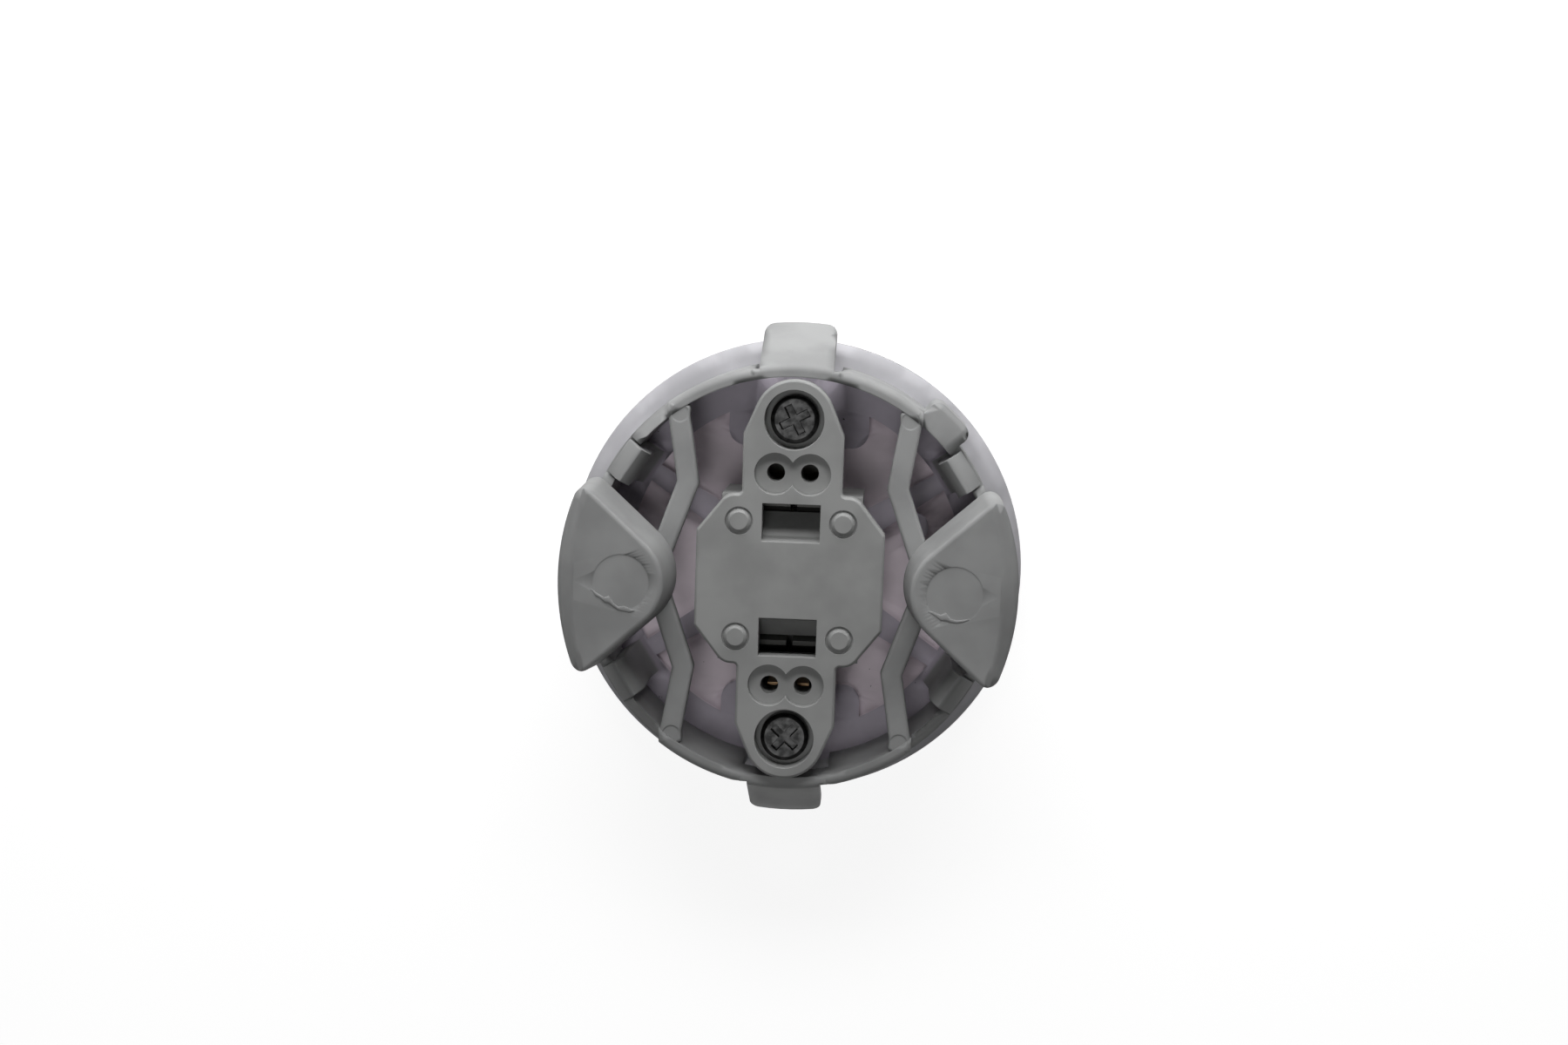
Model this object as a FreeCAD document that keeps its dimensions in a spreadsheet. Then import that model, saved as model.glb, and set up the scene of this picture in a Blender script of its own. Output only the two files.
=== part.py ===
import FreeCAD, Part

import math
import os

import Sketcher

# Rear-wired lamp holder for a two-contact fluorescent lamp, pushed into a sheet-metal panel from the
# front. Millimetres. The axis is Z. The part stands on its lamp collar, with the wired side up.
# X runs from one finger pad to the other, and Y from one panel tongue to the other.

# Driving sizes. Lengths are in millimetres and names that end in _angle are in degrees.
SIZES = {
    # Lamp collar and front disc
    "collar_inner_radius": 20.0,
    "collar_wall": 1.7,
    "collar_height": 8.5,
    "flange_reach": 2.8,
    "flange_thickness": 3.1,
    "flange_edge_thickness": 2.3,
    "flange_slope_width": 1.7,
    "floor_thickness": 1.3,
    "annulus_inner_radius": 22.1,
    "spoke_angle": 32.0,
    "spoke_root_width": 4.2,
    "spoke_end_width": 2.2,
    "spoke_start": 5.0,
    "hub_rim": 2.2,
    "screw_pad_half_width": 9.2,
    "screw_pad_reach": 4.4,
    "screw_pad_corner": 2.2,
    "post_radius": 3.3,
    "locating_pad_x": 15.6,
    "locating_pad_y": 5.7,
    "locating_pad_radius": 1.9,

    # Snap hooks of the front body
    "hook_angle": 33.5,
    "hook_width": 4.9,
    "hook_thickness": 1.8,
    "hook_reach": 1.5,
    "hook_gap": 0.2,
    "hook_drop": 0.3,
    "hook_lip": 0.9,
    "hook_ridge": 0.6,
    "hook_inner_slope": 1.3,
    "hook_foot": 1.2,
    "hook_foot_height": 4.0,

    # Latch ring
    "can_depth": 14.0,
    "plate_gap": 0.2,
    "ring_wall": 1.6,
    "rim_round": 1.0,
    "rim_edge_reach": 0.25,
    "low_inner_drop": 1.45,
    "low_outer_drop": 3.0,
    "ledge_drop": 3.2,
    "ledge_side_gap": 0.35,
    "tongue_width": 9.3,
    "tongue_thickness": 1.6,
    "tongue_reach": 5.1,
    "tongue_length": 12.3,
    "tongue_tip": 1.3,
    "tongue_root": 3.4,
    "tongue_slot_side": 0.9,
    "tongue_slot_top": 4.6,
    "lug_start_angle": 40.2,
    "lug_end_angle": 52.8,
    "lug_reach": 2.2,
    "lug_height": 12.0,
    "lug_corner_round": 1.3,
    "lug_top_bevel": 0.8,

    # Finger pads
    "wing_rise": 9.8,
    "wing_reach": 1.4,
    "wing_side_angle": 42.0,
    "wing_vertex_x": 12.0,
    "wing_apex_radius": 6.4,
    "wing_draft_angle": 4.7,
    "wing_wall": 1.5,
    "wing_outer_wall": 2.0,
    "wing_roof": 2.2,
    "wing_bevel_inset": 2.3,
    "wing_bevel_width": 2.2,
    "wing_bevel_height": 2.9,
    "wing_bevel_radius": 40.0,
    "wing_tip_round": 1.6,
    "wing_edge_round": 0.6,

    # Spring arms
    "arm_width": 2.7,
    "arm_thickness": 2.2,
    "arm_end_angle": 54.7,
    "arm_end_inset": 0.4,
    "arm_overrun": 3.0,
    "arm_bend_x": 13.2,
    "arm_bend_y": 12.5,
    "arm_joint_inset": 4.2,
    "arm_joint_y": 4.0,
    "arm_under_wing": 2.4,
    "arm_mark_radius": 1.1,
    "arm_mark_depth": 0.25,

    # Terminal plate
    "plate_rise": 1.8,
    "plate_thickness": 2.6,
    "plate_half_width": 11.85,
    "plate_half_height": 10.8,
    "plate_corner_x": 3.7,
    "plate_corner_y": 4.7,
    "plate_side_round": 0.8,
    "plate_shoulder_round": 2.2,
    "plate_neck_round": 0.5,
    "plate_edge_bevel": 0.3,
    "neck_half_width": 6.3,
    "neck_taper": 1.8,
    "nose_radius": 5.1,
    "nose_tangent_angle": 25.0,
    "boss_drop": 3.6,
    "boss_start": 11.2,
    "boss_inset": 0.7,
    "screw_offset": 6.7,
    "screw_recess_radius": 3.75,
    "screw_recess_depth": 3.0,
    "screw_clearance": 0.2,
    "wire_recess_radius": 2.6,
    "wire_recess_x": 2.2,
    "wire_recess_depth": 1.2,
    "wire_hole_radius": 1.12,
    "wire_hole_x": 2.13,
    "wire_hole_y": 13.5,
    "window_width": 7.3,
    "window_start": 4.85,
    "window_end": 9.65,
    "window_slope": 0.5,
    "stake_x": 6.55,
    "stake_y": 7.35,
    "stake_recess_radius": 1.75,
    "stake_recess_depth": 0.45,
    "stake_gap": 0.05,

    # Contact block
    "block_half_width": 8.9,
    "block_half_height": 10.6,
    "block_post_gap": 0.5,
    "block_end_half_width": 5.2,
    "block_gap": 0.1,
    "nose_length": 13.5,
    "nose_width": 6.5,
    "nose_tip_height": 0.6,
    "nose_gap": 0.25,
    "nose_tip_bevel": 0.8,
    "stake_radius": 1.2,
    "stake_head_radius": 1.55,
    "stake_head_height": 0.7,
    "stake_head_bevel": 0.45,
    "pocket_half_width": 3.9,
    "pocket_start": 5.3,
    "ramp_reach": 2.7,
    "ramp_depth": 4.8,
    "pocket_shaft_end": 10.2,
    "pocket_floor": 2.4,
    "pocket_roof": 1.1,
    "tunnel_radius": 1.3,

    # Lamp contacts
    "contact_width": 5.4,
    "contact_thickness": 0.4,
    "contact_gap": 0.05,
    "contact_tip_height": 1.6,
    "contact_bow": 0.5,
    "contact_bow_low": 4.6,
    "contact_bow_high": 7.8,
    "contact_top_gap": 0.4,

    # Wire grip springs
    "grip_width": 3.4,
    "grip_thickness": 0.3,
    "grip_seat_gap": 0.1,
    "grip_top_gap": 4.5,
    "grip_bend": 0.6,
    "grip_wire_gap": 0.75,
    "grip_drop": 3.6,

    # Screws
    "screw_radius": 1.45,
    "screw_pilot_gap": 0.02,
    "screw_length": 9.5,
    "screw_tip": 1.0,
    "screw_head_radius": 3.05,
    "screw_head_height": 1.9,
    "screw_head_bevel": 0.5,
    "screw_cross_length": 3.9,
    "screw_cross_width": 0.95,
    "screw_cross_depth": 1.0,
    "upper_cross_angle": 28.0,
    "lower_cross_angle": 48.0,
}

# Cutting shapes reach this far past what they cut.
MARGIN = 1.0

document = FreeCAD.newDocument("lamp_holder")


class Length:
    """A size of the sheet, or arithmetic on sizes: its value now and the expression that keeps it."""

    def __init__(self, value, text):
        self.value = float(value)
        self.text = text

    @staticmethod
    def of(other):
        """Take a plain number as a size too."""
        return other if isinstance(other, Length) else Length(other, repr(float(other)))

    def __add__(self, other):
        other = Length.of(other)
        return Length(self.value + other.value, f"({self.text} + {other.text})")

    def __sub__(self, other):
        other = Length.of(other)
        return Length(self.value - other.value, f"({self.text} - {other.text})")

    def __mul__(self, other):
        other = Length.of(other)
        return Length(self.value * other.value, f"({self.text} * {other.text})")

    def __truediv__(self, other):
        other = Length.of(other)
        return Length(self.value / other.value, f"({self.text} / {other.text})")

    def __neg__(self):
        return self * -1

    def __radd__(self, other):
        return Length.of(other) + self

    def __rsub__(self, other):
        return Length.of(other) - self

    def __rmul__(self, other):
        return self * other

    def sine(self):
        """Sine of an angle in degrees."""
        return Length(math.sin(math.radians(self.value)), f"sin({self.text} * 1deg)")

    def root(self):
        """Square root of a product of sizes."""
        return Length(math.sqrt(self.value), f"sqrt({self.text})")

    def cosine(self):
        """Cosine of an angle in degrees."""
        return Length(math.cos(math.radians(self.value)), f"cos({self.text} * 1deg)")


class Sheet:
    """The spreadsheet of driving sizes. Each size is read as an attribute of its own name."""

    def __init__(self, sizes):
        self.cells = document.addObject("Spreadsheet::Sheet", "sizes")
        for row, (name, value) in enumerate(sizes.items(), start=1):
            self.cells.set(f"A{row}", name)
            self.cells.set(f"B{row}", str(value))
            self.cells.setAlias(f"B{row}", name)

    def __getattr__(self, name):
        return Length(SIZES[name], f"sizes.{name}")


size = Sheet(SIZES)
document.recompute()
ZERO = Length(0.0, "0")

# Levels above the collar's rim
disc_level = size.collar_height
floor_level = disc_level + size.floor_thickness
flange_level = disc_level + size.flange_thickness
rim_level = flange_level + size.can_depth
plate_top = rim_level + size.plate_rise
plate_under = plate_top - size.plate_thickness
boss_under = plate_under - size.boss_drop
recess_floor = plate_top - size.screw_recess_depth
wing_top = rim_level + size.wing_rise
ledge_level = rim_level - size.ledge_drop
block_end_top = boss_under - size.block_gap
pocket_floor_level = flange_level + size.pocket_floor
pocket_roof_level = block_end_top - size.pocket_roof

# Places that more than one piece shares
screw_y = size.wire_hole_y + size.screw_offset
ring_inner_radius = screw_y + size.nose_radius + size.plate_gap
ring_outer_radius = ring_inner_radius + size.ring_wall
flange_radius = ring_outer_radius + size.flange_reach
wing_outer_radius = ring_outer_radius + size.wing_reach
arm_end_x = (ring_inner_radius - size.arm_end_inset) * size.arm_end_angle.cosine()
arm_end_y = (ring_inner_radius - size.arm_end_inset) * size.arm_end_angle.sine()
screw_hole_radius = size.screw_radius + size.screw_clearance
pocket_end = size.wire_hole_y + size.tunnel_radius - size.contact_gap
ramp_foot = size.pocket_start + size.ramp_reach
wing_centre_x = size.wing_vertex_x + size.wing_apex_radius / size.wing_side_angle.sine()

QUADRANTS = ((1, 1), (-1, 1), (-1, -1), (1, -1))
ENDS = (1, -1)


class Drawing:
    """A sketch on a plane of its body. Every corner and circle is held by sizes of the sheet."""

    def __init__(self, body, name, plane, lift=None, turn=None):
        self.sketch = body.newObject("Sketcher::SketchObject", name)
        self.sketch.AttachmentSupport = [(origin_plane(body, plane), "")]
        self.sketch.MapMode = "FlatFace"
        offset = FreeCAD.Placement()
        if lift is not None:
            offset.Base = FreeCAD.Vector(0, 0, lift.value)
        if turn is not None:
            upright = FreeCAD.Vector(0, 0, 1) if plane == "XY_Plane" else FreeCAD.Vector(0, 1, 0)
            offset.Rotation = FreeCAD.Rotation(upright, turn.value)
        self.sketch.AttachmentOffset = offset
        if lift is not None:
            self.sketch.setExpression("AttachmentOffset.Base.z", lift.text)
        if turn is not None:
            self.sketch.setExpression("AttachmentOffset.Rotation.Angle", turn.text)

    def hold(self, kind, *where, value):
        """Add a dimension and bind it to the sheet."""
        index = self.sketch.addConstraint(Sketcher.Constraint(kind, *where, value.value))
        self.sketch.setExpression(f"Constraints[{index}]", value.text)

    def place(self, edge, point, x, y):
        """Hold one point of an edge at a place measured from the origin."""
        self.hold("DistanceX", -1, 1, edge, point, value=x)
        self.hold("DistanceY", -1, 1, edge, point, value=y)

    def circle(self, x, y, radius):
        """Draw a circle."""
        centre = FreeCAD.Vector(x.value, y.value, 0)
        edge = self.sketch.addGeometry(Part.Circle(centre, FreeCAD.Vector(0, 0, 1), radius.value))
        self.place(edge, 3, x, y)
        self.hold("Radius", edge, value=radius)
        return self

    def loop(self, *corners):
        """Draw a closed outline. A corner is (x, y), or (x, y, radius) where an arc leads to the next.

        The arc's radius is positive where it bulges to the right of the way it is drawn.
        """
        corners = [[Length.of(part) for part in corner] for corner in corners]
        points = [FreeCAD.Vector(corner[0].value, corner[1].value, 0) for corner in corners]
        starts = []
        ends = []
        for index, corner in enumerate(corners):
            here = points[index]
            there = points[(index + 1) % len(points)]
            if len(corner) == 2:
                edge = self.sketch.addGeometry(Part.LineSegment(here, there))
                starts.append((edge, 1))
                ends.append((edge, 2))
                continue
            radius = corner[2]
            chord = there - here
            half = chord.Length / 2
            sagitta = abs(radius.value) - math.sqrt(radius.value ** 2 - half ** 2)
            side = FreeCAD.Vector(chord.y, -chord.x, 0).normalize()
            bulge = side * math.copysign(sagitta, radius.value)
            middle = (here + there) * 0.5 + bulge
            if radius.value > 0:
                edge = self.sketch.addGeometry(Part.Arc(here, middle, there))
                starts.append((edge, 1))
                ends.append((edge, 2))
                self.hold("Radius", edge, value=radius)
            else:
                edge = self.sketch.addGeometry(Part.Arc(there, middle, here))
                starts.append((edge, 2))
                ends.append((edge, 1))
                self.hold("Radius", edge, value=-radius)
        for index, corner in enumerate(corners):
            self.sketch.addConstraint(Sketcher.Constraint("Coincident", *ends[index - 1], *starts[index]))
            self.place(*starts[index], corner[0], corner[1])
        return self

    def rectangle(self, left, bottom, right, top):
        """Draw an upright rectangle."""
        return self.loop((left, bottom), (right, bottom), (right, top), (left, top))


class Piece:
    """One sub-part: a body, named as its node, with the features that make it."""

    def __init__(self, node):
        self.body = document.addObject("PartDesign::Body", node)
        self.body.Label = node

    def draw(self, name, plane="XY_Plane", lift=None, turn=None):
        """Start a sketch on one of the body's planes, lifted along Z or turned about it."""
        return Drawing(self.body, name, plane, lift, turn)

    def feature(self, kind, name, drawing=None, **bound):
        """Add a feature with its sizes bound to the sheet."""
        made = self.body.newObject(f"PartDesign::{kind}", name)
        if drawing is not None:
            made.Profile = drawing.sketch
        for attribute, value in bound.items():
            setattr(made, attribute, value.value)
            made.setExpression(attribute, value.text)
        return made

    def pad(self, name, drawing, length, midplane=False, down=False):
        """Raise a sketch by a length, to both sides of its plane or downwards if asked."""
        made = self.feature("Pad", name, drawing, Length=length)
        made.Midplane = midplane
        made.Reversed = down
        return made

    def pocket(self, name, drawing, depth, midplane=False):
        """Cut a sketch down by a depth, or to both sides of its plane."""
        made = self.feature("Pocket", name, drawing, Length=depth)
        made.Midplane = midplane
        return made

    def turned(self, kind, name, drawing, angle=None, axis="V_Axis", both_ways=True):
        """Revolution or Groove about an upright line, all round or by an angle about the sketch."""
        made = self.feature(kind, name, drawing)
        made.ReferenceAxis = (drawing.sketch, [axis])
        made.Angle = 360
        if angle is not None:
            made.Angle = angle.value
            made.setExpression("Angle", angle.text)
            made.Midplane = both_ways
        return made

    def mirror(self, name, features, *planes):
        """Repeat features across each of the planes in turn."""
        made = self.body.newObject("PartDesign::MultiTransform", name)
        made.Originals = features
        mirrors = []
        for plane in planes:
            mirror = self.body.newObject("PartDesign::Mirrored", f"{name}_{plane[:2]}")
            mirror.MirrorPlane = (origin_plane(self.body, plane), [""])
            mirrors.append(mirror)
        made.Transformations = mirrors
        self.body.Tip = made
        return made

    def fillet(self, name, radius, wanted):
        """Round the edges of the solid so far that pass a test."""
        return self.soften("Fillet", "Radius", name, radius, wanted)

    def chamfer(self, name, width, wanted):
        """Cut back the edges of the solid so far that pass a test."""
        return self.soften("Chamfer", "Size", name, width, wanted)

    def lean(self, name, angle, level, wanted):
        """Lean the faces of the solid so far that pass a test outwards, from a flat top downwards."""
        document.recompute()
        base = self.body.Tip
        faces = {f"Face{index}": face for index, face in enumerate(base.Shape.Faces, start=1)}
        made = self.feature("Draft", name, Angle=angle)
        made.Base = (base, [key for key, face in faces.items() if wanted(face)])
        made.NeutralPlane = (base, [key for key, face in faces.items() if lies_flat(face, level.value)])
        return made

    def soften(self, kind, attribute, name, amount, wanted):
        """Round or cut back the edges of the solid so far that pass a test."""
        document.recompute()
        base = self.body.Tip
        chosen = [f"Edge{index}" for index, edge in enumerate(base.Shape.Edges, start=1) if wanted(edge)]
        if not chosen:
            raise RuntimeError(f"{self.body.Label}: no edge for {name}")
        made = self.feature(kind, name, **{attribute: amount})
        made.Base = (base, chosen)
        return made


def origin_plane(body, role):
    """Find one of a body's own origin planes."""
    return next(feature for feature in body.Origin.OriginFeatures if feature.Role == role)


def near(first, second, tolerance=0.01):
    """Say whether two numbers agree within modelling accuracy."""
    return abs(first - second) < tolerance


def lies_flat(shape, level):
    """Say whether an edge or a face lies in the horizontal plane at a level."""
    box = shape.BoundBox
    return near(box.ZMin, level) and near(box.ZMax, level)


def stands(edge):
    """Say whether an edge is a vertical line."""
    box = edge.BoundBox
    return box.XLength < 0.01 and box.YLength < 0.01 and box.ZLength > 0.1


def middle(edge):
    """Give the point half-way along an edge."""
    first, last = edge.ParameterRange
    return edge.valueAt((first + last) / 2)


def from_axis(point):
    """Give a point's distance from the Z axis."""
    return math.hypot(point.x, point.y)


def build_front_body():
    """Front disc with lamp collar, stiffening spokes, screw posts and four snap hooks."""
    piece = Piece("front_body")
    collar_outer = size.collar_inner_radius + size.collar_wall
    section = piece.draw("disc_section", "XZ_Plane").loop(
        (size.collar_inner_radius, ZERO),
        (collar_outer, ZERO),
        (collar_outer, disc_level),
        (flange_radius, disc_level),
        (flange_radius, disc_level + size.flange_edge_thickness),
        (flange_radius - size.flange_slope_width, flange_level),
        (size.annulus_inner_radius, flange_level),
        (size.annulus_inner_radius, floor_level),
        (ZERO, floor_level),
        (ZERO, disc_level),
        (size.collar_inner_radius, disc_level),
    )
    piece.turned("Revolution", "disc", section)

    rib_height = flange_level - floor_level
    spoke_end = size.annulus_inner_radius + MARGIN
    spoke = piece.draw("spoke_outline", lift=floor_level, turn=size.spoke_angle).loop(
        (size.spoke_start, -size.spoke_root_width / 2),
        (spoke_end, -size.spoke_end_width / 2),
        (spoke_end, size.spoke_end_width / 2),
        (size.spoke_start, size.spoke_root_width / 2),
    )
    spoke_pad = piece.pad("spoke", spoke, rib_height)
    piece.mirror("spokes", [spoke_pad], "YZ_Plane", "XZ_Plane")

    hub = piece.draw("hub_outline", lift=floor_level)
    obround(hub, size.nose_length / 2 + size.hub_rim, size.nose_width / 2 + size.hub_rim)
    piece.pad("hub", hub, rib_height)

    screw_pad = piece.draw("screw_pad_outline", lift=floor_level)
    half = size.screw_pad_half_width
    corner = size.screw_pad_corner
    start = screw_y - size.screw_pad_reach
    for end in ENDS:
        screw_pad.loop(
            (half, end * size.annulus_inner_radius),
            (-half, end * size.annulus_inner_radius),
            (-half, end * (start + corner), end * corner),
            (corner - half, end * start),
            (half - corner, end * start, end * corner),
            (half, end * (start + corner)),
        )
    piece.pad("screw_pads", screw_pad, rib_height)

    lobes = piece.draw("locating_pad_outline", lift=floor_level)
    lobes.circle(size.locating_pad_x, size.locating_pad_y, size.locating_pad_radius)
    piece.pad("locating_pad", lobes, rib_height)

    posts = piece.draw("post_outline", lift=floor_level)
    for end in ENDS:
        posts.circle(ZERO, end * screw_y, size.post_radius)
    piece.pad("posts", posts, boss_under - floor_level)
    pilots = piece.draw("pilot_outline", lift=boss_under)
    for end in ENDS:
        pilots.circle(ZERO, end * screw_y, size.screw_radius + size.screw_pilot_gap)
    piece.pocket("pilot_holes", pilots, boss_under - floor_level)

    opening = piece.draw("nose_opening_outline", lift=flange_level)
    obround(opening, size.nose_length / 2 + size.nose_gap, size.nose_width / 2 + size.nose_gap)
    piece.pocket("nose_opening", opening, size.flange_thickness + MARGIN)

    outer = ring_inner_radius - size.hook_gap
    inner = outer - size.hook_thickness
    barb = ledge_level + size.hook_gap / 2
    reach = outer + size.hook_reach
    crown = rim_level - size.hook_drop
    hook = piece.draw("hook_section", "XZ_Plane", turn=size.hook_angle).loop(
        (inner - size.hook_foot, flange_level - size.hook_gap),
        (outer, flange_level - size.hook_gap),
        (outer, barb),
        (reach, barb),
        (reach, barb + size.hook_lip),
        (outer, crown),
        (outer - size.hook_ridge, crown),
        (inner, crown - size.hook_inner_slope),
        (inner, flange_level + size.hook_foot_height),
    )
    hook_pad = piece.pad("hook", hook, size.hook_width, midplane=True)
    piece.mirror("hooks", [hook_pad], "YZ_Plane", "XZ_Plane")
    return piece


def obround(drawing, half_length, half_width):
    """Draw a slot shape about the origin, its length along X."""
    flat = half_length - half_width
    drawing.loop(
        (-flat, -half_width),
        (flat, -half_width, half_width * 1.000001),
        (flat, half_width),
        (-flat, half_width, half_width * 1.000001),
    )


def build_latch_ring():
    """Can wall with its rim, two panel tongues, a keying lug and the four ledges for the hooks."""
    piece = Piece("latch_ring")
    outer = ring_outer_radius
    low_inner = rim_level - size.low_inner_drop
    low_outer = rim_level - size.low_outer_drop
    section = piece.draw("wall_section", "XZ_Plane").loop(
        (ring_inner_radius, flange_level),
        (outer, flange_level),
        (outer, low_outer),
        (ring_inner_radius, low_inner),
    )
    piece.turned("Revolution", "wall", section)

    edge_x = arm_end_x + size.arm_width / 2 + size.rim_edge_reach
    edge_inner_y = (ring_inner_radius * ring_inner_radius - edge_x * edge_x).root()
    edge_outer_y = (outer * outer - edge_x * edge_x).root()
    high = piece.draw("high_rim_outline", lift=rim_level)
    for end in ENDS:
        high.loop(
            (edge_x, end * edge_inner_y),
            (edge_x, end * edge_outer_y, end * outer),
            (-edge_x, end * edge_outer_y),
            (-edge_x, end * edge_inner_y, -end * ring_inner_radius),
        )
    piece.pad("high_rims", high, size.low_outer_drop + MARGIN, down=True)
    crown = piece.draw("rim_round_section", "XZ_Plane").loop(
        (outer, rim_level - size.rim_round),
        (outer + MARGIN, rim_level - size.rim_round),
        (outer + MARGIN, rim_level + MARGIN),
        (outer - size.rim_round, rim_level + MARGIN),
        (outer - size.rim_round, rim_level, -size.rim_round),
    )
    piece.turned("Groove", "rim_round", crown)

    ledge = piece.draw("ledge_section", "XZ_Plane", turn=size.hook_angle)
    ledge.rectangle(ring_inner_radius - MARGIN, ledge_level, outer + MARGIN, rim_level + MARGIN)
    ledge_cut = piece.pocket("ledge", ledge, size.hook_width + size.ledge_side_gap * 2, midplane=True)
    piece.mirror("ledges", [ledge_cut], "YZ_Plane", "XZ_Plane")

    half_slot = size.tongue_width / 2 + size.tongue_slot_side
    slots = piece.draw("tongue_slot_outline", "XZ_Plane")
    slots.rectangle(-half_slot, flange_level - MARGIN, half_slot, rim_level - size.tongue_slot_top)
    piece.pocket("tongue_slots", slots, (outer + MARGIN) * 2, midplane=True)

    tip = rim_level - size.tongue_length
    reach = outer + size.tongue_reach
    inner_face = reach - size.tongue_thickness
    root_face = outer - size.rim_round
    tongue = piece.draw("tongue_section", "YZ_Plane").loop(
        (root_face, rim_level - size.tongue_root),
        (outer, rim_level - size.tongue_root),
        (inner_face, tip),
        (reach, tip),
        (reach, tip + size.tongue_tip),
        (outer, rim_level - size.rim_round / 2, size.rim_round),
        (root_face, rim_level),
    )
    swing = size.tongue_width * 2.6
    tongue_turn = piece.turned("Revolution", "tongue", tongue, swing)
    half = size.tongue_width / 2
    trim = piece.draw("tongue_sides", lift=rim_level + MARGIN)
    trim.rectangle(half, outer - size.tongue_root / 4, half * 3, reach + MARGIN)
    trim.rectangle(-half * 3, outer - size.tongue_root / 4, -half, reach + MARGIN)
    tongue_sides = piece.pocket("tongue_trim", trim, size.tongue_length + MARGIN * 2)
    piece.mirror("tongues", [tongue_turn, tongue_sides], "XZ_Plane")

    lug_angle = size.lug_end_angle - size.lug_start_angle
    lug_foot = rim_level - size.lug_height
    lug = piece.draw("lug_section", "XZ_Plane", turn=size.lug_start_angle + lug_angle / 2)
    lug_face = outer + size.lug_reach
    lug.loop(
        (ring_inner_radius, lug_foot),
        (lug_face, lug_foot),
        (lug_face, low_inner - size.lug_top_bevel),
        (lug_face - size.lug_top_bevel, low_inner),
        (ring_inner_radius, low_inner),
    )
    piece.turned("Revolution", "lug", lug, lug_angle)
    proud = outer.value + size.lug_reach.value / 2
    piece.fillet(
        "lug_corners", size.lug_corner_round,
        lambda edge: stands(edge) and from_axis(middle(edge)) > proud,
    )
    return piece


def build_wing(node, turn):
    """Finger pad: a hollow wedge with drafted sides and a sloped outer edge, open below."""
    piece = Piece(node)
    slope_x = size.wing_side_angle.cosine()
    slope_y = size.wing_side_angle.sine()

    def wedge(name, level, radius):
        """Draw the pad's plan, apex towards the axis, longer than the pad on its outer side."""
        touch_x = wing_centre_x - radius * slope_y
        touch_y = radius * slope_x
        far_x = touch_x + wing_outer_radius * slope_x
        far_y = touch_y + wing_outer_radius * slope_y
        return piece.draw(name, lift=level).loop(
            (touch_x, -touch_y),
            (far_x, -far_y),
            (far_x, far_y),
            (touch_x, touch_y, radius),
        )

    turn_x = wing_centre_x.value
    piece.pad("blank", wedge("head_outline", wing_top, size.wing_apex_radius), size.wing_rise, down=True)
    piece.lean(
        "drafted_sides", size.wing_draft_angle, wing_top,
        lambda face: not lies_flat(face, face.BoundBox.ZMax) and face.BoundBox.XMin < turn_x,
    )

    outer = piece.draw("outer_outline", lift=wing_top + MARGIN)
    outer.circle(ZERO, ZERO, wing_outer_radius)
    outer.circle(ZERO, ZERO, wing_outer_radius * 2)
    piece.pocket("outer_face", outer, size.wing_rise + MARGIN * 2)

    steep = size.wing_bevel_height / size.wing_bevel_width
    edge_x = wing_outer_radius - size.wing_bevel_inset
    far_x = wing_outer_radius + MARGIN
    bevel = piece.draw("bevel_section", "XZ_Plane")
    bevel.loop(
        (edge_x - MARGIN, wing_top + steep * MARGIN),
        (far_x, wing_top - steep * (far_x - edge_x)),
        (far_x, wing_top + steep * MARGIN),
    )
    centre = edge_x - size.wing_bevel_radius
    start = FreeCAD.Vector(centre.value, 0, 0)
    axis = bevel.sketch.addGeometry(Part.LineSegment(start, start + FreeCAD.Vector(0, wing_top.value, 0)))
    bevel.sketch.toggleConstruction(axis)
    bevel.place(axis, 1, centre, ZERO)
    bevel.place(axis, 2, centre, wing_top)
    piece.turned("Groove", "bevel", bevel, size.wing_side_angle, axis="Axis0")

    tips = wing_outer_radius.value - MARGIN
    piece.fillet("tip_rounds", size.wing_tip_round, lambda edge: is_tip_edge(edge, tips))
    inner_side = tips - MARGIN * 3
    piece.fillet(
        "top_rounds", size.wing_edge_round,
        lambda edge: lies_flat(edge, wing_top.value) and middle(edge).x < inner_side,
    )

    hollow_radius = wing_outer_radius - size.wing_outer_wall

    def hollow(name, level, radius):
        """Draw the plan of the space inside the pad, closed by an arc beside the outer wall."""
        reach = wing_centre_x * slope_x
        inside = (
            reach * reach + hollow_radius * hollow_radius - wing_centre_x * wing_centre_x
            + wing_centre_x * radius * slope_y * 2 - radius * radius
        )
        side = inside.root() - reach
        touch_x = wing_centre_x - radius * slope_y
        touch_y = radius * slope_x
        far_x = touch_x + side * slope_x
        far_y = touch_y + side * slope_y
        return piece.draw(name, lift=level).loop(
            (touch_x, -touch_y),
            (far_x, -far_y, hollow_radius),
            (far_x, far_y),
            (touch_x, touch_y, radius),
        )

    spread = size.wing_rise * size.wing_draft_angle.sine() / size.wing_draft_angle.cosine()
    mouth = hollow("mouth_outline", rim_level, size.wing_apex_radius + spread - size.wing_wall)
    roof = hollow("roof_outline", wing_top - size.wing_roof, size.wing_apex_radius - size.wing_wall)
    void = piece.feature("SubtractiveLoft", "hollow", mouth)
    void.Sections = [roof.sketch]
    void.Ruled = True
    piece.body.Placement = FreeCAD.Placement(
        FreeCAD.Vector(), FreeCAD.Rotation(FreeCAD.Vector(0, 0, 1), turn)
    )
    return piece


def is_tip_edge(edge, radius):
    """Say whether an edge is one of a finger pad's two upright corners."""
    point = middle(edge)
    tall = edge.BoundBox.ZLength > size.wing_rise.value / 2
    return tall and from_axis(point) > radius and abs(point.y) > size.wing_apex_radius.value


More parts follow.
